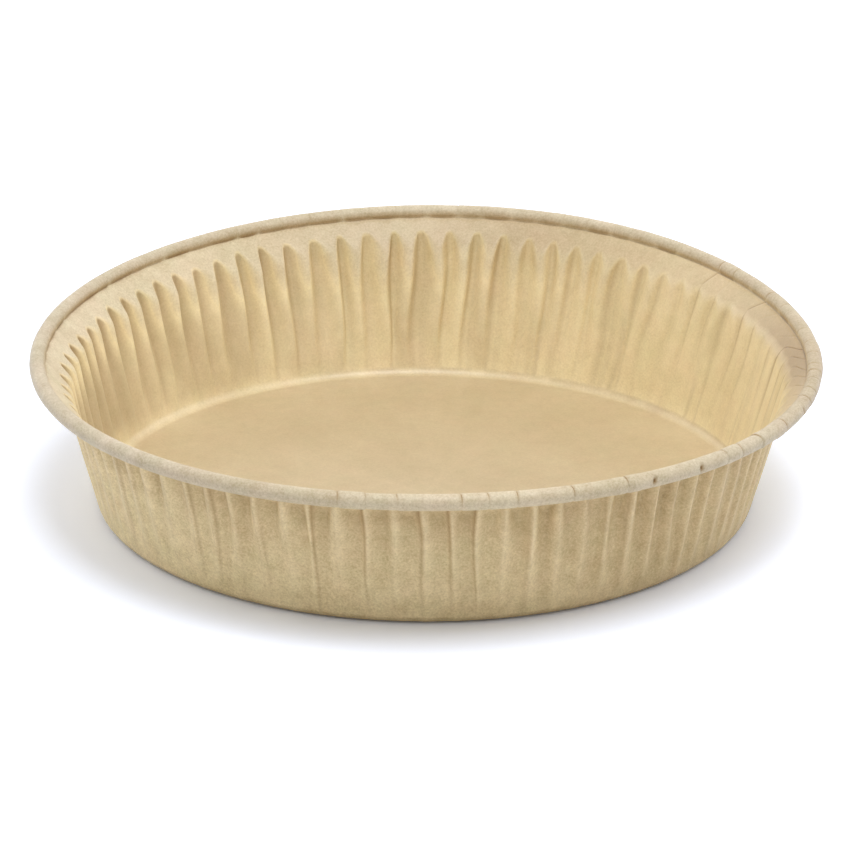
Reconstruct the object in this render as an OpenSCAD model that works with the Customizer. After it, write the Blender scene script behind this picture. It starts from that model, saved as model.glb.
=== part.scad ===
// Round paper liner: a flat base, a pleated wall, a smooth ledge and a rolled rim,
// all pressed from one sheet of paper. The origin is the centre of the underside of
// the base, +Z is up and -Y is the front. Sizes are in millimetres.

/* [Overall] */
// Mean diameter over the rolled rim
rim_d = 200; // [188:1:260]
// Diameter of the flat part of the base
base_d = 159; // [110:1:168]
// Height from the underside to the top of the rim
height = 40; // [30:0.5:70]
// Thickness of the paper
paper_t = 0.3; // [0.1:0.05:0.7]

/* [Wall] */
// Radius of the bend from the base into the wall, at the middle of the paper
corner_r = 2.8; // [1.5:0.1:8]
// Width of the ledge between the middle of the pleats' heads and the rim, seen from above
ledge_w = 5.4; // [4:0.1:9]
// Rise of the ledge over that width
ledge_rise = 4.7; // [3:0.1:7]

/* [Pleats] */
// Number of pleats round the wall
pleats = 84; // [48:1:85]
// Share of the spare paper that stands up as pleats
pleat_fill = 0.85; // [0.3:0.05:1]
// Height above the base bend at which the pleats are fully formed
pleat_run = 11; // [5:0.5:15]
// Height of the wall's top in which the pleats are at their sharpest
pleat_head = 5; // [3:0.5:8]
// Share by which the depth differs from pleat to pleat
pleat_uneven = 0.2; // [0:0.05:0.4]
// Share by which the pleats are flattened where they are weakest
pleat_fade = 0.65; // [0:0.05:0.8]
// Share of the pitch by which the outer ridges are pushed over, to one side and then the other
pleat_lean = 0.14; // [0:0.02:0.24]
// Angle by which the feet of the pleats are turned where they slant most
pleat_slant = 3; // [0:0.25:5]
// Angle by which the pleats drift from even spacing
pleat_drift = 2.4; // [0:0.1:4]

/* [Rim] */
// Outer diameter of the rolled bead
bead_d = 4; // [3:0.1:6]
// Angle through which the paper is rolled outward and under
curl_sweep = 315; // [240:5:320]

/* [Unevenness of the pressed sheet] */
// How far the rim is drawn out towards the front and back
rim_oval = 1.6; // [0:0.1:3]
// Size of the rim's three-sided swell
rim_swell = 0.6; // [0:0.1:1.5]
// Size of the rim's two-sided rise and fall
rim_rise = 0.9; // [0:0.1:2]
// Size of the rim's three-sided rise and fall
rim_ripple = 0.3; // [0:0.1:1]

/* [Hidden] */

// Directions round the liner, from +X towards the back, at which each slow wave of the rim peaks
oval_peak = 92;
swell_peak = -18.6;
rise_peak = 72.5;
ripple_peak = 56;

// Directions at which the pleats are flattest, lean most, slant most and drift most
fade_peak = 38;
lean_peak = 125;
slant_peak = 320;
drift_peak = 244;

// One pleat runs from inner ridge to inner ridge in this many steps
steps = 6;
// Depth of a pleat at the foot of the wall, as a share of its full depth
foot_depth = 0.25;

// The bead starts where the ledge meets it, just below the middle of its inner side
curl_start = 190;
curl_steps = 8;

// Bead, groove and shoulder, each [radius, height] on the middle of the paper
bead_mid_r = bead_d / 2 - paper_t / 2;
bead_centre = [rim_d / 2 - bead_d / 2, height - bead_d / 2];
groove = bead_centre + bead_mid_r * unit(curl_start);
shoulder = groove - [ledge_w, ledge_rise];
ledge_dir = [ledge_w, ledge_rise] / norm([ledge_w, ledge_rise]);

// The wall leaves the base bend at the angle at which it points at the shoulder
bend_centre = [base_d / 2, paper_t / 2 + corner_r];
to_shoulder = shoulder - bend_centre;
bend_end = atan2(to_shoulder[1], to_shoulder[0]) - acos(corner_r / norm(to_shoulder));
wall_foot = bend_centre + corner_r * unit(bend_end);
wall_len = norm(shoulder - wall_foot);
wall_dir = (shoulder - wall_foot) / wall_len;
wall_out = [wall_dir[1], -wall_dir[0]];

// Heights up the wall, as shares of its length, of the pleated rings below the shoulder
wall_shares = [0, pleat_run / wall_len, 1 - pleat_head / wall_len];

function unit(a) = [cos(a), sin(a)];
function mirror_r(v) = [-v[1], v[0]];
function point_on_wall(share) = wall_foot + wall_len * share * wall_dir;

// A repeatable number from -1 to 1 for each pleat
function scatter(i) =
    let (x = 43.75 * sin(127.1 * i)) 2 * (x - floor(x)) - 1;

// Paper that a flat disc has to spare at this height, as a share of the wall's own round
function spare_paper(share) =
    (bend_centre[0] + corner_r * (90 + bend_end) * PI / 180 + wall_len * share)
    / point_on_wall(share)[0] - 1;

// Depth of a sine wave at this height and direction that takes up the filled part of it
function full_depth(share, a) =
    4 * point_on_wall(share)[0] / pleats
    * sqrt(max(0, spare_paper(share)) * pleat_fill)
    * (1 - pleat_fade * (1 + cos(2 * (a - fade_peak))) / 2);

// Depth of one pleat there
function pleat_depth(share, i) =
    full_depth(share, i * 360 / pleats) * (1 + pleat_uneven * scatter(i))
    * min(1, foot_depth + (1 - foot_depth) * share * wall_len / pleat_run);

// Height of a pleat's wave at a step, and the step's direction at a share of the wall's length
function wave(step) = -cos(360 * step / steps) / 2;
function pleat_a(i, step, share) =
    let (a = (i + step / steps) * 360 / pleats)
    a + pleat_drift * cos(a - drift_peak)
    + pleat_lean * sin(180 * step / steps) * cos(a - lean_peak) * 360 / pleats
    + pleat_slant * (1 - share) * (1 + cos(a - slant_peak)) / 2;

// Slow waves of the pressed sheet: outward in x and up in y, growing from the base
function sway(a) = [
    rim_oval * cos(2 * (a - oval_peak)) + rim_swell * cos(3 * (a - swell_peak)),
    rim_rise * cos(2 * (a - rise_peak)) + rim_ripple * cos(3 * (a - ripple_peak))];

// A point of the sheet from its [radius, height] in a section and its direction
function place(p, a) =
    let (q = p + sway(a) * max(0, p[1] - paper_t) / height)
    [q[0] * cos(a), q[0] * sin(a), q[1]];

// Middle of the paper in one section: base edge, bend, wall, shoulder, groove and curl
section = concat(
    [[base_d / 2, paper_t / 2]],
    [bend_centre + corner_r * unit((bend_end - 90) / 2)],
    [for (share = wall_shares) point_on_wall(share)],
    [shoulder],
    [for (k = [0:curl_steps])
        bead_centre + bead_mid_r * unit(curl_start - curl_sweep * k / curl_steps)]);
last = len(section) - 1;

// Normals of the section's corners, towards the food side, long enough to keep the thickness
function side_normal(k) =
    let (d = section[min(k + 1, last)] - section[min(k, last - 1)]) mirror_r(d / norm(d));
function corner_normal(k) =
    k == 0 ? [0, 1] :
    let (n1 = side_normal(k - 1), n2 = side_normal(k)) (n1 + n2) / (1 + n1 * n2);

first_wall = 2;
shoulder_at = first_wall + len(wall_shares);
function is_pleated(k) = k >= first_wall && k <= shoulder_at;

// Share of the wall's length at a corner of the section: 0 below the wall and 1 above it
function wall_share(k) =
    k < first_wall ? 0 : k >= shoulder_at ? 1 : wall_shares[k - first_wall];

// Way in which the wave shifts a corner of the section: across the wall, or along the ledge
function wave_way(k) = k == shoulder_at ? ledge_dir / (ledge_dir * wall_out) : wall_out;

// One ring of the sheet, on the food side (1) or on the outside (-1)
function ring(k, side) =
    let (p = section[k] + side * paper_t / 2 * corner_normal(k), share = wall_share(k))
    is_pleated(k)
        ? [for (i = [0:pleats - 1]) let (shift = pleat_depth(share, i) * wave_way(k))
            for (step = [0:steps - 1]) place(p + wave(step) * shift, pleat_a(i, step, share))]
        : [for (i = [0:pleats - 1]) place(p, pleat_a(i, 0, share))];

// Rings in order: food side from the centre to the curl's end, then the outside back
rings = concat(
    [[[0, 0, paper_t]]],
    [for (k = [0:last]) ring(k, 1)],
    [for (k = [last:-1:0]) ring(k, -1)],
    [[[0, 0, 0]]]);
starts = [for (r = 0, at = 0; r < len(rings); at = at + len(rings[r]), r = r + 1) at];

// Triangles between two rings that have one point, one per pleat or one per step
function band(a, na, b, nb) =
    na == 1 ? [for (j = [0:nb - 1]) [a, b + (j + 1) % nb, b + j]] :
    nb == 1 ? [for (j = [0:na - 1]) [a + j, a + (j + 1) % na, b]] :
    na == nb ? [for (j = [0:na - 1]) let (n = (j + 1) % na)
        each [[a + j, a + n, b + n], [a + j, b + n, b + j]]] :
    na < nb ? [for (j = [0:na - 1]) each concat(
        [for (s = [0:steps - 1]) [a + j, b + (j * steps + s + 1) % nb, b + j * steps + s]],
        [[a + j, a + (j + 1) % na, b + (j + 1) * steps % nb]])] :
    [for (j = [0:nb - 1]) each concat(
        [for (s = [0:steps - 1]) [a + j * steps + s, a + (j * steps + s + 1) % na, b + j]],
        [[a + (j + 1) * steps % na, b + (j + 1) % nb, b + j]])];

module pleated_liner() {
    color([0.86, 0.78, 0.62])
        polyhedron(
            points = [for (r = rings) each r],
            faces = [for (r = [0:len(rings) - 2])
                each band(starts[r], len(rings[r]), starts[r + 1], len(rings[r + 1]))],
            convexity = 12);
}

pleated_liner();
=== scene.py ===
# %% [markdown]
# # A pleated paper liner
# The real thing is one disc of unbleached greaseproof paper, pressed in one stroke into a round
# dish: a flat base, a wall thrown into pleats, a smooth ledge and a rim rolled outward.
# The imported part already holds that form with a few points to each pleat. Here the same sheet is
# made again with many more points, so that each pleat gets a crisp fold and its own small
# faults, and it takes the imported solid's place.

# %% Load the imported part
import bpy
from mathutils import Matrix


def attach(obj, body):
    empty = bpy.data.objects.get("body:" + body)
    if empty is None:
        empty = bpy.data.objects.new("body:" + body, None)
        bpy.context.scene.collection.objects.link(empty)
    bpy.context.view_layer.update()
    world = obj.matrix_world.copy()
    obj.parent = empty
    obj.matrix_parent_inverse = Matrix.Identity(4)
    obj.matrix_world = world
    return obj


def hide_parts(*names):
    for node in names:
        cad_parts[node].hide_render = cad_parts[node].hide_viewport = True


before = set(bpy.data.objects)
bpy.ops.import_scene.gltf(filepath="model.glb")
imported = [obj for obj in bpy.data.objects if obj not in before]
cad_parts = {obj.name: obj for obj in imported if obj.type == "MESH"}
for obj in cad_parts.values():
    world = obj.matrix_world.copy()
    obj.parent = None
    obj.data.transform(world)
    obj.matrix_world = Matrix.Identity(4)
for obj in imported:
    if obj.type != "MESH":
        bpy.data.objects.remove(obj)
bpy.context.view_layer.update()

# %% Tools
import math

import bpy
import numpy as np

MM = 0.001
TURN = 360.0
print("lengths are drawn in millimetres and scaled by", MM)


# %% Directions in degrees
def unit(degrees):
    """Direction in a section, as [outward, up]."""
    a = math.radians(degrees)
    return np.array([math.cos(a), math.sin(a)])


def cosd(degrees):
    return np.cos(np.radians(degrees))


def sind(degrees):
    return np.sin(np.radians(degrees))


# %% [markdown]
# ## The section of the dish
# Cut the dish in half and the sheet shows as one line: out along the base, round a small bend,
# up the wall, out along the ledge, and over into the rolled bead. All of it follows from a few
# sizes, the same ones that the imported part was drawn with. They are in millimetres here, and the
# finished mesh is scaled to metres at the end.

# %% Sizes of the section
RIM_R = 100.0
BASE_R = 79.5
HEIGHT = 40.0
PAPER_T = 0.3
BEND_R = 2.8
BEAD_R = 2.0
LEDGE = np.array([5.4, 4.7])
CURL_SWEEP = 315.0
CURL_MEETS_LEDGE = 190

bead_mid_r = BEAD_R - PAPER_T / 2
bead_centre = np.array([RIM_R - BEAD_R, HEIGHT - BEAD_R])
ledge_end = bead_centre + bead_mid_r * unit(CURL_MEETS_LEDGE)
shoulder = ledge_end - LEDGE
ledge_dir = LEDGE / np.linalg.norm(LEDGE)

bend_centre = np.array([BASE_R, PAPER_T / 2 + BEND_R])
to_shoulder = shoulder - bend_centre
bend_end = math.degrees(math.atan2(to_shoulder[1], to_shoulder[0])
                        - math.acos(BEND_R / np.linalg.norm(to_shoulder)))
wall_foot = bend_centre + BEND_R * unit(bend_end)
wall_len = float(np.linalg.norm(shoulder - wall_foot))
wall_dir = (shoulder - wall_foot) / wall_len
wall_out = np.array([wall_dir[1], -wall_dir[0]])
print("wall: %.1f mm long, leaning %.1f degrees outward"
      % (wall_len, 90 - math.degrees(math.atan2(wall_dir[1], wall_dir[0]))))

# %% [markdown]
# ## The pleats
# A flat disc has more paper round its edge than the rim of the dish needs, and the pleats take up
# what is over. Each one is a wave: from an inner ridge out to an outer ridge and back. The press
# doesn't make them alike. On the right they were ironed almost flat, their outer ridges are pushed
# over to one side at the back and to the other at the front, and their feet are turned a little,
# one way on the left and the other way on the right. An array of one modelled pleat would make
# them all the same, so every pleat is worked out by itself. It gets ten columns of points,
# gathered where its paper is folded most sharply: round a narrow outer ridge at the front, and at
# both sides of a channel at the back.

# %% Columns of points, ten to a pleat
PLEATS = 84
PITCH = TURN / PLEATS
RIDGE_T = np.array([0.0, 0.13, 0.26, 0.38, 0.465, 0.5, 0.535, 0.62, 0.74, 0.87])
CHANNEL_T = np.array([0.0, 0.12, 0.22, 0.32, 0.44, 0.5, 0.58, 0.68, 0.78, 0.89])
PER_PLEAT = len(RIDGE_T)
RIDGES_SHARPEST = 290

pleat = np.repeat(np.arange(PLEATS), PER_PLEAT)
at_front = (1 + cosd((pleat + 0.5) * PITCH - RIDGES_SHARPEST)) / 2
at_back = 1 - at_front
t = np.tile(CHANNEL_T, PLEATS) * at_back + np.tile(RIDGE_T, PLEATS) * at_front
even_a = (pleat + t) * PITCH
print("columns:", len(t))

# %% Helpers for faults and places round the dish
# Numbers with no common step, so that the faults look like chance but are the same each time
MIXERS = (43.75, 127.1, 311.7, 17.31)
WEAKEST = 38


def smooth(x):
    """A smooth step from 0 to 1."""
    x = np.clip(x, 0, 1)
    return x * x * (3 - 2 * x)


def peak_at(middle, width):
    """From 0 to 1 across each pleat, highest at one share of its pitch."""
    return np.exp(-((t - middle) / width) ** 2)


def scatter(number, kind):
    """A repeatable number from -1 to 1 for each pleat and each kind of fault."""
    size, by_number, by_kind, shift = MIXERS
    x = size * np.sin(np.radians(by_number * (number % PLEATS) + by_kind * kind)) + shift * kind
    return 2 * (x - np.floor(x)) - 1


def between(kind):
    """The same, carried smoothly from each inner ridge to the next."""
    s = smooth(t)
    return scatter(pleat, kind) * (1 - s) + scatter(pleat + 1, kind) * s


def per_length(kind):
    """The same, one number for each length of rim from outer ridge to outer ridge."""
    return np.where(t < 0.5, scatter(pleat, kind), scatter(pleat + 1, kind))


def hump(peak, waves=1):
    """From 0 to 1 round the dish, highest at the peak's direction."""
    return (1 + cosd(waves * (even_a - peak))) / 2


def patch(middle, reach):
    """From 0 to 1 near one direction, fading away over the reach."""
    away = (even_a - middle + 180) % TURN - 180
    return np.exp(-(away / reach) ** 2)


weak = hump(WEAKEST, waves=2) ** 1.5
print("flattest columns:", int((weak > 0.9).sum()))

# %% Directions of the columns at each height
DRIFT, DRIFT_PEAK = 2.4, 244
LEAN, LEAN_PEAK = 0.14, 125
SLANT, SLANT_PEAK = 3.0, 320
LEFT_TURN, LEFT_TURN_AT = 3.5, (222, 30)
FRONT_TURN, FRONT_TURN_AT = 1.4, (278, 45)
WANDER, MORE_WANDER, MORE_WANDER_AT = 0.12, 0.8, (38, 30)
TOP_WANDER, SNAKING = 0.5, 0.6
LEDGE_SLANT, LEDGE_SLANT_AT = 5.0, (5, 25)
LEDGE_TWIST, BEAD_TWIST = 0.16, 0.1


def column_a(up, over=0.0, twist=0.0):
    """Directions of all columns at a share of the wall's height, then over the ledge and rim."""
    wander = between(1) * (1 - up) + between(2) * np.sin(math.pi * up) + between(3) * TOP_WANDER
    wander = wander + SNAKING * between(15) * np.sin(2 * math.pi * up)
    wander = wander * WANDER * (1 + MORE_WANDER * patch(*MORE_WANDER_AT))
    foot_turn = (SLANT * hump(SLANT_PEAK) - LEFT_TURN * patch(*LEFT_TURN_AT)
                 - FRONT_TURN * patch(*FRONT_TURN_AT))
    bow = np.sin(math.pi * t)
    lean = LEAN * bow * cosd(even_a - LEAN_PEAK) * (1 - over)
    skew = LEDGE_TWIST * over * scatter(pleat, 8) + BEAD_TWIST * twist * scatter(pleat, 16)
    return (even_a + DRIFT * cosd(even_a - DRIFT_PEAK) + foot_turn * (1 - up)
            - LEDGE_SLANT * patch(*LEDGE_SLANT_AT) * over
            + (lean + wander + skew * bow ** 2) * PITCH)


print("columns turn by up to %.1f degrees from foot to head"
      % np.abs(column_a(0.0) - column_a(1.0)).max())

# %% Shape of a pleat
RIDGE_POWER, RIDGE_OUT = 1.8, 0.1
CHANNEL_IN, CHANNEL_OUT = (0.03, 0.44), (0.95, 0.33)


def crest(power):
    """From 0 at the inner ridges to 1 at the outer ridge, narrower for a higher power."""
    return (0.5 - 0.5 * np.cos(2 * math.pi * t)) ** power


narrow_ridge = RIDGE_OUT + crest(RIDGE_POWER)
channel = np.minimum(smooth((t - CHANNEL_IN[0]) / CHANNEL_IN[1]),
                     smooth((CHANNEL_OUT[0] - t) / CHANNEL_OUT[1]))
wave = channel * at_back + narrow_ridge * at_front - 0.5
print("wave from %.2f to %.2f" % (wave.min(), wave.max()))

# %% Depth of a pleat
PLEAT_FILL = 0.85
FOOT_DEPTH, DEPTH_RUN = 0.3, 9.0
FADE, FADE_DOWN = 0.3, 0.6
IRONED, IRONED_AT = 0.88, (14, 36)
PROUD_LEFT, PROUD_LEFT_AT = 0.5, (238, 42)
PROUD_BACK, PROUD_BACK_AT = 0.45, (95, 55)
UNEVEN, MORE_UNEVEN, MORE_UNEVEN_AT = 0.28, 0.35, (42, 26)
UNEVEN_UP = 0.2

uneven = (UNEVEN + MORE_UNEVEN * patch(*MORE_UNEVEN_AT)) * between(4)
proud = PROUD_LEFT * patch(*PROUD_LEFT_AT) + PROUD_BACK * patch(*PROUD_BACK_AT)
not_ironed = 1 - IRONED * patch(*IRONED_AT)


def pleat_depth(up):
    """Depth of each column's pleat at a share of the wall's height."""
    r = (wall_foot + wall_len * up * wall_dir)[0]
    paper = BASE_R + BEND_R * math.radians(90 + bend_end) + wall_len * up
    full = 4 * r / PLEATS * math.sqrt(max(0.0, paper / r - 1) * PLEAT_FILL)
    rise = np.minimum(1.0, FOOT_DEPTH + (1 - FOOT_DEPTH) * up * wall_len / DEPTH_RUN)
    fade = 1 - weak * (FADE + FADE_DOWN * (1 - up))
    faults = 1 + uneven + UNEVEN_UP * between(5) * (1 - 2 * up)
    return full * rise * fade * faults * not_ironed * (1 + proud * up ** 2)


print("pleats up to %.1f mm deep" % pleat_depth(1.0).max())

# %% [markdown]
# ## The sheet, row by row
# The sheet is worked out as rows of points round the dish, each one a radius, a height and a
# direction for every column. On the wall a pleat pushes the paper straight in and out. Where the
# wall meets the ledge, that push slides the corner along the ledge, which is what gives each
# pleat its arched head. The bend at each corner is a short curve through three points.
#
# Each point also carries three marks for the finish. The first is how far it stands out on a
# ridge, which the material turns into painted highlight on the outer crests and painted shade in
# the channels. The second is how pale it is, partly where the press rubbed it and partly painted
# light and sheen. The third is painted shade in the folds, grooves and creases. They could be
# painted on a picture instead, but worked out with the shape they always lie where the folds are.

# %% A row of the sheet
rows = []


def add_row(r, z, up, over=0.0, twist=0.0, ridge=0.0, press=0.0, painted_shade=0.0, outside=None):
    """Keeps one row: its points and the marks that the finish reads on each side."""
    ones = np.ones(len(t))
    outer_press, outer_painted_shade = outside or (press, painted_shade)
    rows.append({"r": r * ones, "z": z * ones, "a": column_a(up, over, twist),
                 "food": np.stack([ridge * ones, press * ones, painted_shade * ones], 1),
                 "outer": np.stack([ridge * ones, outer_press * ones, outer_painted_shade * ones], 1)})


# %% Rows of the base
BASE_RINGS = [16.0, 34.0, 50.0, 63.0, 72.0, 77.5, 79.5]
QUILT, QUILT_PARTS, QUILT_TO = 0.12, 5, 72.0
QUILT_TURN, QUILT_BEAT = 4, 6
BASE_SHEEN, BASE_SHEEN_AT = 0.34, (238, 50)
BASE_MIDDLE_SHADE = 0.2

for ring in BASE_RINGS:
    share = ring / BASE_R
    swell = cosd(QUILT_PARTS * even_a + QUILT_TURN * ring) * sind(QUILT_BEAT * ring)
    quilt = QUILT * (1 + swell) * share * (ring < QUILT_TO)
    # Painted sheen: the base is paler towards the front left. Painted shade: it is darker towards
    # the middle.
    add_row(ring, PAPER_T / 2 + quilt, 0.0,
            press=BASE_SHEEN * patch(*BASE_SHEEN_AT) * share ** 1.5,
            painted_shade=BASE_MIDDLE_SHADE * (1 - share ** 2))
print("rows of the base:", len(rows))

# %% Rows of the bend
BEND_STEPS = 5
BEND_RUB_AND_LIGHT, BEND_RUB_AND_LIGHT_PEAK, BEND_RUB_AND_LIGHT_LEAST = 0.40, 140, 0.2
BEND_RUB_AND_LIGHT_GAPS = 0.45
BEND_RIDGE = 0.3

# The pale band round the bend is partly rubbed paper and partly a painted highlight, strongest at
# the back left. BEND_RIDGE paints highlight and shade by the pleats' wave.
rubbed_and_lit = BEND_RUB_AND_LIGHT * (BEND_RUB_AND_LIGHT_LEAST + (1 - BEND_RUB_AND_LIGHT_LEAST) * hump(BEND_RUB_AND_LIGHT_PEAK))
rubbed_and_lit = rubbed_and_lit * (1 - BEND_RUB_AND_LIGHT_GAPS * between(9) ** 2)
for step in range(1, BEND_STEPS):
    share = step / BEND_STEPS
    push = wave * pleat_depth(0.0) * share ** 1.5
    out = unit(-90 + (bend_end + 90) * share)
    p = bend_centre[:, None] + np.outer(out, BEND_R + push)
    add_row(p[0], p[1], 0.0, ridge=BEND_RIDGE * wave * share, press=rubbed_and_lit * math.sqrt(share))
print("rows up to the wall:", len(rows))

# %% [markdown]
# ## Creases
# Where the press caught the spare paper, a pleat doesn't end at its head. It runs on as a sharp
# crease over the ledge and across the bead, most often on the right. A real cut in the mesh would
# tear the sheet open, so a crease is a narrow dip with a line of painted shade at the middle of
# its pleat, and one table says how hard each pleat is creased.

# %% Creased pleats
CREASED = {1.2: [2, 9],
           1.0: [69, 73, 74, 75, 77, 80, 81, 82, 83, 0, 1, 6],
           0.7: [59, 60, 61, 63, 64, 65, 67, 3, 5, 8],
           0.45: [10, 13, 15, 16, 19, 20, 22, 24, 25, 26],
           0.3: [28, 29, 30, 32, 35, 37]}
BARELY = 0.08
CREASED_AT = (10, 40)

creased = np.full(PLEATS, BARELY)
for amount, numbers in CREASED.items():
    creased[numbers] = amount
crease = creased[pleat]
across = np.abs(t - 0.5) * PITCH * math.radians(1) * RIM_R


def crease_line(half_width):
    """The creases as lines of a half width in millimetres."""
    return np.exp(-(across / half_width) ** 2) * crease


wide_crease = crease_line(0.45) * patch(*CREASED_AT)
print("creased pleats:", sum(len(numbers) for numbers in CREASED.values()))

# %% [markdown]
# ## Heads and marks of the wall
# The press rubs the paper pale where it stands against the mould. Over that rub go painted light
# and shade: paler and darker sides of the dish, and painted shade in the folds. Each such mark is
# worked out once for all columns, and the rows of the wall then let it grow or fade with their
# height.

# %% Heads of the pleats
ROUND_OFF, MORE_AT_INNER, LESS_IF_WEAK = 0.7, 1.2, 0.3
ROUND_OFF_RIGHT, ROUND_RIGHT_AT = 2.3, (8, 34)

head = wave * pleat_depth(1.0)
slide = head / (ledge_dir @ wall_out)
corner = shoulder[:, None] + np.outer(ledge_dir, slide)
corner_up = 1 + head * (ledge_dir @ wall_dir) / (ledge_dir @ wall_out) / wall_len
round_off = (ROUND_OFF + MORE_AT_INNER * smooth(0.5 - wave)) * (1 - LESS_IF_WEAK * weak)
round_off = round_off + (ROUND_OFF_RIGHT - round_off) * patch(*ROUND_RIGHT_AT)
deepest = pleat_depth(1.0).max()
strength = pleat_depth(1.0) / deepest
print("heads reach %.1f to %.1f mm up the wall"
      % ((corner_up * wall_len).min(), (corner_up * wall_len).max()))

# %% Painted light and shade of the ridges and folds
CREST_POWER, CREST_LEVEL = 2.6, 0.32
STEEP_BACK, STEEP_LEFT, STEEP_FROM, STEEP_OVER = 0.24, 0.3, 95, 60
STEEP_FRONT = 0.035
LINE, MORE_LINE, MORE_LINE_AT, LINE_FAULTS = 1.1, 0.3, (205, 60), 0.3
LINE_FRONT, LINE_BACK = 0.03, 0.15
WEDGE, WEDGE_AT, WEDGE_OFF, WEDGE_WIDTH = 0.9, (170, 55), -0.02, 0.11

# Painted light by the wave: the material paints highlight on the outer crests and shade in the
# inner channels.
crest_light_and_shade = (channel - 0.5) * at_back + (crest(CREST_POWER) - CREST_LEVEL) * at_front
hidden_in = STEEP_BACK - STEEP_LEFT * smooth((even_a - STEEP_FROM) / STEEP_OVER)
steep_side = (0.5 + STEEP_FRONT * at_front * np.sign(cosd(even_a - LEAN_PEAK))
              + hidden_in * at_back)
# Painted shade: the line and the wedge darken the steep, hidden side of each channel
line = (LINE + MORE_LINE * patch(*MORE_LINE_AT)) * strength
line = line * peak_at(steep_side, LINE_FRONT * at_front + LINE_BACK * at_back)
line = line * (1 - LINE_FAULTS + LINE_FAULTS * scatter(pleat, 10))
wedge = WEDGE * patch(*WEDGE_AT) * peak_at(steep_side + WEDGE_OFF, WEDGE_WIDTH)
print("darkest fold line: %.2f" % line.max())

# %% Painted shade outside only, under the rim and beside the ridges
RIM_SHADE, RIM_SHADE_FAULTS = 0.22, 0.12
BEAD_SHADOW, BEAD_SHADOW_AT, BEAD_SHADOW_FAULTS = 0.6, (236, 44), 0.4
DARK_FOLDS = [49, 53, 54, 58, 59, 60, 62, 63, 64]
OTHER_FOLDS, FOLD_FAULTS = 0.25, 0.4
BESIDE, BESIDE_PEAK, BESIDE_WIDTH = 1.15, 275, 0.08
LEANS_OVER_AT = 255
OUTER_RUB = 0.38
OUTER_PALER, OUTER_PALER_AT = 0.12, (210, 30)
OUTER_DARKER, OUTER_DARKER_AT = 0.31, (320, 38)

# Painted shadow of the bead on the top of the outer wall, at the front left
bead_shadow = BEAD_SHADOW * patch(*BEAD_SHADOW_AT) * peak_at(0.2, 0.13)
bead_shadow = bead_shadow * (1 - BEAD_SHADOW_FAULTS + BEAD_SHADOW_FAULTS * scatter(pleat, 14))
# Painted shade under the rim, all round the outside
shade_under_rim = bead_shadow + RIM_SHADE + RIM_SHADE_FAULTS * between(17)
# Painted shade beside the outer ridges, darkest on the listed pleats
folded = np.maximum(OTHER_FOLDS + FOLD_FAULTS * scatter(pleat, 21), np.isin(pleat, DARK_FOLDS))
fold_side = np.where(even_a < LEANS_OVER_AT, 0.62, 0.38)
beside_ridge = BESIDE * hump(BESIDE_PEAK) * np.maximum(0, folded)
beside_ridge = beside_ridge * peak_at(fold_side, BESIDE_WIDTH)
# Painted light outside: paler on the left, darker on the front right
outer_rub_and_light = (OUTER_RUB + OUTER_PALER * patch(*OUTER_PALER_AT)
             - OUTER_DARKER * patch(*OUTER_DARKER_AT))
print("pleats with a dark fold outside:", len(DARK_FOLDS))

# %% Rub and painted light and shade of the wall and the ledge
WALL_RUB, WALL_RUB_MOST = 0.29, 0.5
WALL_PALER, WALL_PALER_AT = 0.2, (36, 60)
WALL_DARKER, WALL_DARKER_AT = 0.34, (185, 45)
WALL_FAULTS = 0.1
STREAKY, MORE_STREAKY, MORE_STREAKY_AT = 0.05, 0.11, (28, 45)
LEDGE_PRESS = 0.79
LEDGE_DARKER, LEDGE_DARKER_AT = 0.36, (8, 46)
LEDGE_PALER, LEDGE_PALER_AT = 0.07, (190, 50)
LEDGE_SHADE_BACK, LEDGE_SHADE_BACK_AT = 0.6, (80, 42)
LEDGE_SHADE_RIGHT, LEDGE_SHADE_RIGHT_AT = 1.14, (5, 34)


def streaks(kind):
    """Soft upright streaks, about two columns wide."""
    x = scatter(np.arange(len(t)), kind)
    return (np.roll(x, 1) + 2 * x + np.roll(x, -1)) / 2.5


streaky = STREAKY + MORE_STREAKY * patch(*MORE_STREAKY_AT)
foot_streaks, head_streaks = streaky * streaks(13), streaky * streaks(18)
# Painted light and shade over the rub: the wall is paler on the right and darker on the left
even_rub_and_light = (WALL_RUB + WALL_PALER * patch(*WALL_PALER_AT)
            - WALL_DARKER * patch(*WALL_DARKER_AT) + WALL_FAULTS * between(12))
tongue = (1 - channel) * at_back
# Painted light over the ledge's rub: greyer on the left, standing in for sheen, and less grey on
# the right
ledge_press = (LEDGE_PRESS - LEDGE_DARKER * patch(*LEDGE_DARKER_AT)
               + LEDGE_PALER * patch(*LEDGE_PALER_AT))
# Painted shade on the ledge, at the back and more on the right
ledge_painted_shade = LEDGE_SHADE_BACK * patch(*LEDGE_SHADE_BACK_AT) + LEDGE_SHADE_RIGHT * patch(*LEDGE_SHADE_RIGHT_AT)
print("ledge rubbed from %.2f to %.2f" % (ledge_press.min(), ledge_press.max()))

# %% Rows of the wall
WALL_ROWS = 17
RUB_AND_LIGHT_UP = 4.0
PALE_DOWN = 8.0
WEDGE_DOWN = 13.0
HEAD_FROM = 0.8
HEAD_PALER = 0.6
LINE_FOOT, LINE_OUTSIDE = 0.3, 0.7
CREASE_SHADE = 0.9
OUTER_FADE = 0.57

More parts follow.
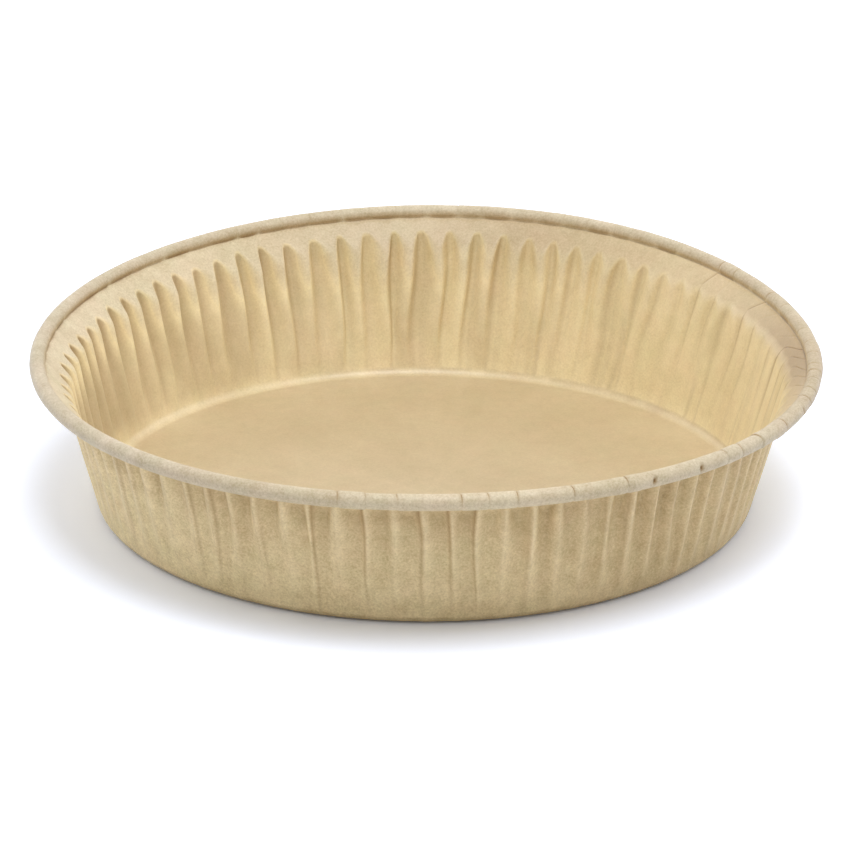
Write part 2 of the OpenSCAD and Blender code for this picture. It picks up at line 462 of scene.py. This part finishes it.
for step in range(WALL_ROWS):
    share = (step / (WALL_ROWS - 1)) ** 0.9
    below = (1 - share) * wall_len
    up = share * (corner_up - round_off / wall_len)
    push = wave * pleat_depth(np.clip(up, 0, 1).mean())
    push = push + (head - push) * np.clip((up - HEAD_FROM) / (1 - HEAD_FROM), 0, 1)
    p = wall_foot[:, None] + np.outer(wall_dir, up * wall_len) + np.outer(wall_out, push)

    wall_rub_and_light = np.minimum(even_rub_and_light + foot_streaks * (1 - share) + head_streaks * share,
                          WALL_RUB_MOST)
    tongue_here = tongue * math.exp(-(below / PALE_DOWN) ** 2)
    wall_rub_and_light = wall_rub_and_light + (ledge_press - wall_rub_and_light) * tongue_here
    # The bend's rub and painted highlight fade up the foot of the wall
    bend_rub_and_light_here = rubbed_and_lit * math.exp(-(share * wall_len / RUB_AND_LIGHT_UP) ** 2)
    # Painted shade in the folds: lines, crease shade and wedges inside; outside, lines, shade
    # under the rim and shade beside the ridges. The ridge mark grows toward the head, painting
    # more crest highlight and channel shade there.
    painted_shade = np.max([line * (LINE_FOOT + (1 - LINE_FOOT) * share),
                   CREASE_SHADE * wide_crease * share ** 1.5,
                   wedge * math.exp(-(below / WEDGE_DOWN) ** 2)], axis=0)
    outer_painted_shade = np.max([LINE_OUTSIDE * line * share, shade_under_rim * share ** 3,
                         beside_ridge * share ** 0.7], axis=0)
    # Outside, the painted light fades upward, so the foot of the wall is paler
    add_row(p[0], p[1], share,
            ridge=crest_light_and_shade * (1 + HEAD_PALER * share ** 4) * pleat_depth(share) / deepest,
            press=np.maximum(bend_rub_and_light_here, wall_rub_and_light), painted_shade=painted_shade,
            outside=(outer_rub_and_light * (1 - OUTER_FADE * share) + foot_streaks, outer_painted_shade))
print("rows up to the pleats' heads:", len(rows))

# %% Creases and dashes at the edge of the ledge
LEDGE_NOTCH_AT = (12, 42)
NOTCH_DEPTH = 0.16
GAP, GAP_WIDTH, GAP_FEWER = 0.75, 0.7, 0.1
DASH, DASH_FAULTS = 1.15, 0.35
DASH_PALER, DASH_PALER_AT = 0.2, (80, 45)

ledge_notch = crease_line(0.32) * patch(*LEDGE_NOTCH_AT)
# Painted shade in the groove under the bead, as dashes broken at some pleats and lighter at the
# back
gap = GAP * np.exp(-(across / GAP_WIDTH) ** 2) * (scatter(pleat, 20) > GAP_FEWER)
dash = (DASH + DASH_FAULTS * per_length(11)) * (1 - gap)
dash = dash * (1 - DASH_PALER * patch(*DASH_PALER_AT))
print("gaps in the dashed line:", int((scatter(np.arange(PLEATS), 20) > GAP_FEWER).sum()))

# %% Rows round the heads of the pleats
HEAD_STEPS = 4
HEAD_CREASE = 1.1
OUTER_TOP_RUB_AND_LIGHT = 1 - OUTER_FADE
start = corner - np.outer(wall_dir, round_off)
end = corner + np.outer(ledge_dir, round_off)

for step in range(1, HEAD_STEPS + 1):
    s = step / HEAD_STEPS
    p = start * (1 - s) ** 2 + corner * 2 * s * (1 - s) + end * s ** 2
    # Round the head the painted crest light, the painted shade of lines, wedges and creases, and
    # the ledge's painted shade blend together; outside, painted shade under the rim and beside the
    # ridges.
    add_row(p[0], p[1], 1.0, ridge=(1 + HEAD_PALER) * crest_light_and_shade * strength * (1 - s),
            press=wall_rub_and_light * (1 - s) + ledge_press * s,
            painted_shade=np.max([line * (1 - s), wedge * (1 - s), ledge_painted_shade * s,
                         HEAD_CREASE * wide_crease], axis=0),
            outside=(OUTER_TOP_RUB_AND_LIGHT * outer_rub_and_light + foot_streaks,
                     np.max([line, shade_under_rim, beside_ridge], axis=0)))
print("rows up to the ledge:", len(rows))

# %% Rows of the ledge
LEDGE_STEPS = 6
GROOVE_A = 206
PINCH_POWER, DASH_POWER = 6, 8
NOTCH_SHADE = 1.4
RIM_SHADE_AT_BEAD = 0.3
groove = bead_centre + bead_mid_r * unit(GROOVE_A)
ledge_normal = np.array([-ledge_dir[1], ledge_dir[0]])

for step in range(1, LEDGE_STEPS + 1):
    s = step / LEDGE_STEPS
    p = end * (1 - s) + ledge_end[:, None] * s
    pinch = s ** PINCH_POWER
    p = p * (1 - pinch) + groove[:, None] * pinch
    p = p - np.outer(ledge_normal, NOTCH_DEPTH * ledge_notch)
    # Painted shade on the ledge: dashes in the groove, crease lines and the ledge's shade;
    # outside, painted shade under the rim grows toward the bead
    add_row(p[0], p[1], 1.0, over=smooth(s), press=ledge_press,
            painted_shade=np.max([dash * s ** DASH_POWER, NOTCH_SHADE * ledge_notch, ledge_painted_shade], axis=0),
            outside=(OUTER_TOP_RUB_AND_LIGHT * outer_rub_and_light, shade_under_rim + RIM_SHADE_AT_BEAD * s))
print("rows up to the bead:", len(rows))

# %% [markdown]
# ## The rolled rim
# The bead is the edge of the disc, curled outward and under. The spare paper goes on into it, so
# it is creased across at the pleats, and each length between two creases stands a little prouder
# or lower than the next. Three creases on the front right are pinched right through. A torus would
# be quicker, but the bead is made as more rows of the sheet, so the creases run on without a seam.

# %% Creases of the bead
PINCHED = [70, 72, 79]
BEAD_BACK_LIGHT, BEAD_BACK_AT = 0.07, (90, 60)
BEAD_FRONT_LIGHT, BEAD_FRONT_AT = 0.1, (275, 38)
BEAD_SHADE, BEAD_SHADE_AT = 0.34, (2, 26)
CREASE_LEAST, CREASE_FRONT_AT = 0.4, (302, 52)
GROOVE_WIDTH, GROOVE_WIDER, GROOVE_WIDER_AT = 34, 6, (85, 50)

lengths = per_length(7) * np.minimum(crease, 1)
pinched = np.isin(pleat, PINCHED) * np.exp(-(across / 0.5) ** 2)
bead_notch = crease_line(0.23) * (CREASE_LEAST + (1 - CREASE_LEAST) * patch(*CREASE_FRONT_AT))
# Painted light: the bead is paler and less grey at the back and at the front
bead_press = 1 - BEAD_BACK_LIGHT * patch(*BEAD_BACK_AT) - BEAD_FRONT_LIGHT * patch(*BEAD_FRONT_AT)
# Painted shade on the bead at the right
bead_painted_shade = BEAD_SHADE * patch(*BEAD_SHADE_AT)
groove_width = GROOVE_WIDTH + GROOVE_WIDER * patch(*GROOVE_WIDER_AT)
print("pinched creases:", len(PINCHED))

# %% Rows of the bead
CURL_STEPS = 15
LENGTH_OUT, NOTCH_IN, PINCH_IN = 0.13, 0.34, 0.9
BEAD_FADE = 50.0
PINCH_TURN, PINCH_SPAN = 200.0, 22.0
CREASE_TURN, CREASE_TURN_FAULTS, CREASE_SPAN = 110, 40, 65
CREASE_DARK = 2.3
TWIST_FROM, TWIST_OVER, TWIST_PER_TURN = 40, 120, 80

for step in range(1, CURL_STEPS + 1):
    turn = CURL_SWEEP * step / CURL_STEPS
    fade = min(1.0, turn / BEAD_FADE)
    hole = pinched * math.exp(-((turn - PINCH_TURN) / PINCH_SPAN) ** 2)
    tube = bead_mid_r + fade * (LENGTH_OUT * lengths - NOTCH_IN * bead_notch) - PINCH_IN * hole
    p = bead_centre[:, None] + np.outer(unit(GROOVE_A - turn), tube)
    middle = CREASE_TURN + CREASE_TURN_FAULTS * scatter(pleat, 19)
    notch_here = bead_notch * np.exp(-((turn - middle) / CREASE_SPAN) ** 2)
    # Painted shade in the bead's creases and pinched holes, and in the groove where it meets the
    # ledge
    painted_shade = np.max([CREASE_DARK * notch_here, CREASE_DARK * hole,
                   dash * np.exp(-(turn / groove_width) ** 2), bead_painted_shade], axis=0)
    add_row(p[0], p[1], 1.0, over=1.0,
            twist=min(max(turn - TWIST_FROM, 0), TWIST_OVER) / TWIST_PER_TURN,
            press=ledge_press + (bead_press - ledge_press) * fade, painted_shade=painted_shade)
print("rows in all:", len(rows))

# %% [markdown]
# ## Out of true
# Pressed paper springs back unevenly. The rim is a little wider from front to back than from side
# to side, and it rises and dips by a millimetre. These slow waves grow from nothing at the base,
# so the liner still stands flat.

# %% Slow waves of the whole dish
OVAL, OVAL_PEAK = 1.6, 92
SWELL, SWELL_PEAK = 0.6, -18.6
RISE, RISE_PEAK = 0.9, 72.5
RIPPLE, RIPPLE_PEAK = 0.3, 56


def sway(a):
    """Outward and upward shift at the rim, in each direction."""
    out = OVAL * cosd(2 * (a - OVAL_PEAK)) + SWELL * cosd(3 * (a - SWELL_PEAK))
    lift = RISE * cosd(2 * (a - RISE_PEAK)) + RIPPLE * cosd(3 * (a - RIPPLE_PEAK))
    return out, lift


def placed(row):
    """Points of a row in space."""
    out, lift = sway(row["a"])
    grow = np.maximum(0, row["z"] - PAPER_T) / HEIGHT
    r = row["r"] + out * grow
    return np.stack([r * cosd(row["a"]), r * sind(row["a"]), row["z"] + lift * grow], 1)


sheet = np.stack([placed(row) for row in rows])
food_marks = np.concatenate([row["food"] for row in rows])
outer_marks = np.concatenate([row["outer"] for row in rows])
print("sheet: %d rows of %d points" % sheet.shape[:2])

# %% [markdown]
# ## From a sheet to a solid
# The sheet has no thickness yet. Each point is moved half the paper's thickness along the
# sheet's own normal, once to the food side and once to the outside. The two skins are joined at
# the curl's end and closed by one point each at the middle of the base. A Solidify modifier would
# thicken it as well, but with two skins of their own each side can carry its own marks.

# %% Two skins
ahead = np.roll(sheet, -1, axis=1) - np.roll(sheet, 1, axis=1)
outward = np.gradient(sheet, axis=0)
normal = np.cross(outward, ahead)
normal /= np.linalg.norm(normal, axis=2, keepdims=True)
food_skin = sheet + normal * PAPER_T / 2
outer_skin = sheet - normal * PAPER_T / 2
outer_skin[..., 2] = np.maximum(outer_skin[..., 2], 0.0)

n_rows, n_cols = sheet.shape[:2]
skin_points = n_rows * n_cols
points = np.concatenate([food_skin.reshape(-1, 3), outer_skin.reshape(-1, 3),
                         [[0, 0, PAPER_T], [0, 0, 0]]])
food_pole = 2 * skin_points
outer_pole = food_pole + 1
print("points:", len(points))

# %% Faces
around = np.arange(n_cols)
beside = (around + 1) % n_cols


def strip(low, high):
    """Quads between two rows, given the number of each row's first point."""
    return np.stack([low + around, low + beside, high + beside, high + around], 1)


quads = []
for row in range(n_rows - 1):
    low, high = row * n_cols, (row + 1) * n_cols
    quads.append(strip(low, high)[:, ::-1])
    quads.append(strip(skin_points + low, skin_points + high))
rim_row = (n_rows - 1) * n_cols
quads.append(strip(rim_row, skin_points + rim_row)[:, ::-1])
faces = np.concatenate(quads).tolist()
faces += np.stack([np.full(n_cols, food_pole), around, beside], 1).tolist()
faces += np.stack([np.full(n_cols, outer_pole), skin_points + beside, skin_points + around],
                  1).tolist()
print("faces:", len(faces))

# %% Mesh
mesh = bpy.data.meshes.new("pleated_sheet")
mesh.from_pydata((points * MM).tolist(), [], faces)
mesh.validate()
mesh.shade_smooth()
print("triangles:", sum(len(p.vertices) - 2 for p in mesh.polygons))

# %% [markdown]
# ## Marks for the finish
# The marks of both sides go into one colour attribute of the mesh: ridge, rub with painted light,
# and painted shade as red, green and blue, and as alpha 0 on the food side and 1 outside. The
# ridge is kept half a step higher, so that a flat place is 0.5.

# %% Colour attribute with the marks
LEVEL = 0.5
side = np.concatenate([np.zeros(skin_points), np.ones(skin_points), [0, 1]])
marks = np.concatenate([food_marks, outer_marks, np.zeros((2, 3))])
marks[:, 0] += LEVEL
paper_marks = mesh.color_attributes.new("paper_marks", "FLOAT_COLOR", "POINT")
paper_marks.data.foreach_set("color", np.concatenate([marks, side[:, None]], 1).ravel())
print("marked points:", len(marks))

# %% The liner
liner = bpy.data.objects.new("pleated_paper_liner", mesh)
bpy.context.scene.collection.objects.link(liner)
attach(liner, "root")
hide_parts("pleated_liner")
print("liner:", liner.name)

# %% [markdown]
# ## Greaseproof paper
# Unbleached pulp isn't one colour. Up close it is a fine speckle of pale and dark fibres, and
# from further off it clouds into lighter and darker patches. A picture of paper would have to be
# wrapped round every pleat, while noise fills the space the sheet stands in and needs no wrapping.
# The grain is a node group, so that its sizes and amounts are set by name where it is used.

# %% Helpers for nodes
def new_group(name, inputs, outputs):
    """An empty node group with number inputs and named outputs."""
    group = bpy.data.node_groups.new(name, "ShaderNodeTree")
    for label, value in inputs.items():
        socket = group.interface.new_socket(label, in_out="INPUT", socket_type="NodeSocketFloat")
        socket.default_value = value
    for label, kind in outputs.items():
        group.interface.new_socket(label, in_out="OUTPUT", socket_type=kind)
    return group, group.nodes.new("NodeGroupInput"), group.nodes.new("NodeGroupOutput")


def math_node(tree, operation, a, b):
    """A Math node fed by sockets or plain numbers."""
    node = tree.nodes.new("ShaderNodeMath")
    node.operation = operation
    for socket, value in zip(node.inputs, (a, b)):
        if isinstance(value, (int, float)):
            socket.default_value = value
        else:
            tree.links.new(value, socket)
    return node.outputs[0]


def noise_node(tree, coords, scale, detail=3.0, roughness=0.6):
    """A noise texture on the given coordinates, centred on zero."""
    node = tree.nodes.new("ShaderNodeTexNoise")
    node.inputs["Detail"].default_value = detail
    node.inputs["Roughness"].default_value = roughness
    tree.links.new(coords, node.inputs["Vector"])
    if isinstance(scale, (int, float)):
        node.inputs["Scale"].default_value = scale
    else:
        tree.links.new(scale, node.inputs["Scale"])
    return math_node(tree, "SUBTRACT", node.outputs["Fac"], 0.5)


# %% Pulp grain group
WARM_PATCHES = 120.0
pulp, pulp_in, pulp_out = new_group(
    "Pulp grain",
    {"Speckle Scale": 1500.0, "Speckle": 0.5, "Fleck Scale": 400.0, "Fleck": 0.2,
     "Cloud Scale": 60.0, "Cloud": 0.4},
    {"Tone": "NodeSocketFloat", "Warmth": "NodeSocketFloat", "Height": "NodeSocketFloat"})
place = pulp.nodes.new("ShaderNodeTexCoord").outputs["Object"]
speckle = noise_node(pulp, place, pulp_in.outputs["Speckle Scale"], detail=2.0, roughness=0.7)
fleck = noise_node(pulp, place, pulp_in.outputs["Fleck Scale"], detail=3.0, roughness=0.6)
cloud = noise_node(pulp, place, pulp_in.outputs["Cloud Scale"], detail=5.0, roughness=0.65)
tone = math_node(pulp, "MULTIPLY", speckle, pulp_in.outputs["Speckle"])
tone = math_node(pulp, "ADD", tone, math_node(pulp, "MULTIPLY", fleck, pulp_in.outputs["Fleck"]))
tone = math_node(pulp, "ADD", tone, math_node(pulp, "MULTIPLY", cloud, pulp_in.outputs["Cloud"]))
pulp.links.new(tone, pulp_out.inputs["Tone"])
pulp.links.new(noise_node(pulp, place, WARM_PATCHES, detail=4.0), pulp_out.inputs["Warmth"])
pulp.links.new(speckle, pulp_out.inputs["Height"])
print("group:", pulp.name)

# %% [markdown]
# ## One paper, four tones
# The food side has a thin glaze and is smooth, the outside is rougher and more speckled. Where the
# press rubbed it the paper is paler, and in the bead, where the outside is on view, it is greyer,
# partly worn and partly painted sheen. The pale tone also carries painted highlight and sheen, and
# paler sides of the dish. Four colours are laid over each other by the marks of the mesh, and
# painted shade darkens the folds last. So one material does for the whole sheet, and no line shows
# where one tone turns into another.

# %% Colours of the paper
FOOD_SIDE = (0.535, 0.415, 0.238)
OUTER_SIDE = (0.60, 0.46, 0.25)
# Pale rubbed paper, also used for painted highlight and sheen
RUBBED_AND_LIT = (0.88, 0.73, 0.435)
# Greyer rolled paper of the bead and ledge, partly wear and partly painted sheen
ROLLED_AND_SHEEN = (0.55, 0.465, 0.335)
FOLD_SHADE = (0.34, 0.21, 0.08)
# Painted shade in the channels inside and painted highlight on the crests outside
CREST_INSIDE = -0.34
CREST_OUTSIDE = 0.4
BROWNING = (0.85, 1.0, 1.35)
PINKER = (0.1, -0.02, 0.05)
print("colours:", FOOD_SIDE, OUTER_SIDE, RUBBED_AND_LIT, ROLLED_AND_SHEEN)

# %% The paper's material
paper = bpy.data.materials.new("greaseproof_paper")
paper.use_nodes = True
tree = paper.node_tree
shader = tree.nodes["Principled BSDF"]
shader.inputs["Specular IOR Level"].default_value = 0.35
shader.inputs["Coat Roughness"].default_value = 0.38

marks_node = tree.nodes.new("ShaderNodeVertexColor")
marks_node.layer_name = "paper_marks"
split = tree.nodes.new("ShaderNodeSeparateColor")
tree.links.new(marks_node.outputs["Color"], split.inputs[0])
ridge, press, painted_shade = split.outputs[0], split.outputs[1], split.outputs[2]
is_outside = marks_node.outputs["Alpha"]
print("marks read from:", marks_node.layer_name)


# %% Helpers for colours and vectors
def mix_node(tree, share, a, b):
    """A Mix node for colours, fed by sockets or plain colours."""
    node = tree.nodes.new("ShaderNodeMix")
    node.data_type = "RGBA"
    node.clamp_factor = True
    for socket, value in ((node.inputs[0], share), (node.inputs[6], a), (node.inputs[7], b)):
        if isinstance(value, (int, float)):
            socket.default_value = value
        elif isinstance(value, tuple):
            socket.default_value = (*value, 1.0)
        else:
            tree.links.new(value, socket)
    return node.outputs[2]


def vector_node(tree, operation, *values):
    """A Vector Math node fed by sockets or plain vectors."""
    node = tree.nodes.new("ShaderNodeVectorMath")
    node.operation = operation
    for socket, value in zip(node.inputs, values):
        if isinstance(value, tuple):
            socket.default_value = value
        else:
            tree.links.new(value, socket)
    return node.outputs[0]


# %% Grain of the paper
SPECKLE, SPECKLE_ROUGHER = 0.38, 0.42
FLECK, FLECK_ROUGHER = 0.2, 0.3

grain = tree.nodes.new("ShaderNodeGroup")
grain.node_tree = pulp
# Shares of the pale and grey tones: rub and wear mixed with painted light and sheen
rub_and_light_pale = math_node(tree, "MULTIPLY", press, 2.0)
rolled_and_sheen = math_node(tree, "MAXIMUM", math_node(tree, "SUBTRACT", rub_and_light_pale, 1.0), 0.0)
rough_side = math_node(tree, "MAXIMUM", is_outside, rolled_and_sheen)
for name, least, rougher in (("Speckle", SPECKLE, SPECKLE_ROUGHER),
                             ("Fleck", FLECK, FLECK_ROUGHER)):
    more = math_node(tree, "MULTIPLY", rough_side, rougher)
    tree.links.new(math_node(tree, "ADD", more, least), grain.inputs[name])
grain.inputs["Speckle Scale"].default_value = 1800.0
grain.inputs["Fleck Scale"].default_value = 260.0
grain.inputs["Cloud Scale"].default_value = 35.0
grain.inputs["Cloud"].default_value = 0.45
print("grain:", grain.node_tree.name)

# %% Colour of the paper
FOLD_COVER = 0.75
PIT_DARKER = 0.75

colour = mix_node(tree, is_outside, FOOD_SIDE, OUTER_SIDE)
colour = mix_node(tree, rub_and_light_pale, colour, RUBBED_AND_LIT)
colour = mix_node(tree, rolled_and_sheen, colour, ROLLED_AND_SHEEN)
# Painted shade in the folds, grooves and creases
colour = mix_node(tree, math_node(tree, "MULTIPLY", painted_shade, FOLD_COVER), colour, FOLD_SHADE)
# Painted highlight on the outer crests, painted shade in the inner channels
tint = math_node(tree, "MULTIPLY", is_outside, CREST_OUTSIDE - CREST_INSIDE)
tint = math_node(tree, "ADD", tint, CREST_INSIDE)
painted_crest_tone = math_node(tree, "MULTIPLY", math_node(tree, "SUBTRACT", ridge, LEVEL), tint)
# Painted shade deepens beyond full cover, in the creases and pinched holes
pit = math_node(tree, "MAXIMUM", math_node(tree, "SUBTRACT", painted_shade, 1.0), 0.0)
change = math_node(tree, "ADD", grain.outputs["Tone"], painted_crest_tone)
change = math_node(tree, "SUBTRACT", change, math_node(tree, "MULTIPLY", pit, PIT_DARKER))
gain = vector_node(tree, "MULTIPLY_ADD", change, BROWNING, (1.0, 1.0, 1.0))
gain = vector_node(tree, "MULTIPLY_ADD", grain.outputs["Warmth"], PINKER, gain)
tree.links.new(vector_node(tree, "MULTIPLY", colour, gain), shader.inputs["Base Color"])
print("nodes up to the colour:", len(tree.nodes))

# %% Glaze, roughness and fibres you can feel
GLAZE = 0.9
ROUGHNESS, ROUGHER_WHERE_PALE = 0.5, 0.3

glaze = math_node(tree, "MULTIPLY", math_node(tree, "SUBTRACT", 1.0, rough_side), GLAZE)
tree.links.new(glaze, shader.inputs["Coat Weight"])
roughness = math_node(tree, "MULTIPLY", grain.outputs["Tone"], ROUGHER_WHERE_PALE)
tree.links.new(math_node(tree, "ADD", roughness, ROUGHNESS), shader.inputs["Roughness"])
bump = tree.nodes.new("ShaderNodeBump")
bump.inputs["Strength"].default_value = 0.35
bump.inputs["Distance"].default_value = 0.0002
tree.links.new(grain.outputs["Height"], bump.inputs["Height"])
tree.links.new(bump.outputs[0], shader.inputs["Normal"])
mesh.materials.append(paper)
print("material:", paper.name)

# %% [markdown]
# ## Floor and light
# The liner stands on a plain white floor under broad soft lamps. The camera sees the world as
# white, and the floor a little brighter than it lights the liner. Most of the light comes from
# above and from behind, so the shadow is tight under the overhang and darkest in front.

# %% Floor
FLOOR_SIZE = 6.0
FLOOR_Z = -0.0001
FLOOR_PAINT = (0.86, 0.86, 0.87)
FLOOR_SEEN = (1.12, 1.20, 1.39)

floor_mesh = bpy.data.meshes.new("floor")
h = FLOOR_SIZE / 2
floor_mesh.from_pydata([(-h, -h, FLOOR_Z), (h, -h, FLOOR_Z), (h, h, FLOOR_Z), (-h, h, FLOOR_Z)],
                       [], [(0, 1, 2, 3)])
floor = bpy.data.objects.new("floor", floor_mesh)
bpy.context.scene.collection.objects.link(floor)

floor_paint = bpy.data.materials.new("floor_paint")
floor_paint.use_nodes = True
tree = floor_paint.node_tree
tree.nodes.clear()
output = tree.nodes.new("ShaderNodeOutputMaterial")
matt = tree.nodes.new("ShaderNodeBsdfDiffuse")
path = tree.nodes.new("ShaderNodeLightPath")
seen = math_node(tree, "MAXIMUM", path.outputs["Is Camera Ray"], path.outputs["Is Glossy Ray"])
seen = math_node(tree, "MAXIMUM", seen, path.outputs["Is Transmission Ray"])
tree.links.new(mix_node(tree, seen, FLOOR_PAINT, FLOOR_SEEN), matt.inputs["Color"])
tree.links.new(matt.outputs[0], output.inputs["Surface"])
floor_mesh.materials.append(floor_paint)
print("floor at %.1f mm" % (FLOOR_Z / MM))

# %% World
WORLD_LIGHT = 0.68
FROM_BEHIND = 0.36
FROM_LEFT = 0.05
world = bpy.data.worlds.new("studio")
bpy.context.scene.world = world
world.use_nodes = True
tree = world.node_tree
background = tree.nodes["Background"]
background.inputs["Color"].default_value = (1.0, 1.0, 1.0, 1)
path = tree.nodes.new("ShaderNodeLightPath")
seen = math_node(tree, "MAXIMUM", path.outputs["Is Camera Ray"], path.outputs["Is Glossy Ray"])
seen = math_node(tree, "MAXIMUM", seen, path.outputs["Is Transmission Ray"])
direction = tree.nodes.new("ShaderNodeSeparateXYZ")
tree.links.new(tree.nodes.new("ShaderNodeTexCoord").outputs["Generated"], direction.inputs[0])
behind = math_node(tree, "MULTIPLY", direction.outputs["Y"], FROM_BEHIND)
right = math_node(tree, "MULTIPLY", direction.outputs["X"], FROM_LEFT)
unseen = math_node(tree, "SUBTRACT", math_node(tree, "ADD", behind, WORLD_LIGHT), right)
hidden = math_node(tree, "MULTIPLY", unseen, math_node(tree, "SUBTRACT", 1.0, seen))
tree.links.new(math_node(tree, "ADD", hidden, seen), background.inputs["Strength"])
print("world:", world.name)

# %% Lamps
from mathutils import Vector


def lamp(name, place, watts, size, shine):
    """A square soft lamp that faces the liner."""
    light = bpy.data.lights.new(name, "AREA")
    light.energy = watts
    light.size = size
    light.specular_factor = shine
    holder = bpy.data.objects.new(name, light)
    holder.location = place
    holder.rotation_euler = (-Vector(place)).to_track_quat("-Z", "Y").to_euler()
    bpy.context.scene.collection.objects.link(holder)
    return holder


lamp("top", (0.14, -0.3, 1.5), 13.5, 0.8, shine=0.4)
lamp("back_left", (-1.0, 0.8, 0.6), 2.3, 0.8, shine=0.2)
lamp("back_right", (1.1, 0.5, 0.7), 2.5, 0.8, shine=0.2)
print("lamps:", len(bpy.data.lights))

# %% [markdown]
# ## Camera
# The camera looks down by about 22 degrees. That angle, the roll and the size of the picture come
# from a fit to the outline and the rim. The distance hardly shows in the picture: anything from
# 0.8 to 2.5 metres fits almost as well, so 1.6 metres is a choice and the lens goes with it.

# %% Camera
ELEVATION = 22.02
DISTANCE = 1.6
LENS = 270.6
ROLL = 0.22
AIM_HEIGHT = 0.015
SHIFT = (0.0012, 0.0148)

camera_data = bpy.data.cameras.new("camera")
camera_data.lens = LENS
camera_data.sensor_width = 36.0
camera_data.shift_x, camera_data.shift_y = SHIFT
camera_data.clip_end = 20.0
camera = bpy.data.objects.new("camera", camera_data)
camera.location = (0, -DISTANCE * cosd(ELEVATION), AIM_HEIGHT + DISTANCE * sind(ELEVATION))
camera.rotation_euler = (math.radians(90 - ELEVATION), 0, 0)
camera.rotation_euler.rotate_axis("Z", math.radians(ROLL))
bpy.context.scene.collection.objects.link(camera)
bpy.context.scene.camera = camera
bpy.context.scene.view_settings.view_transform = "Standard"
print("camera at", [round(x, 3) for x in camera.location])
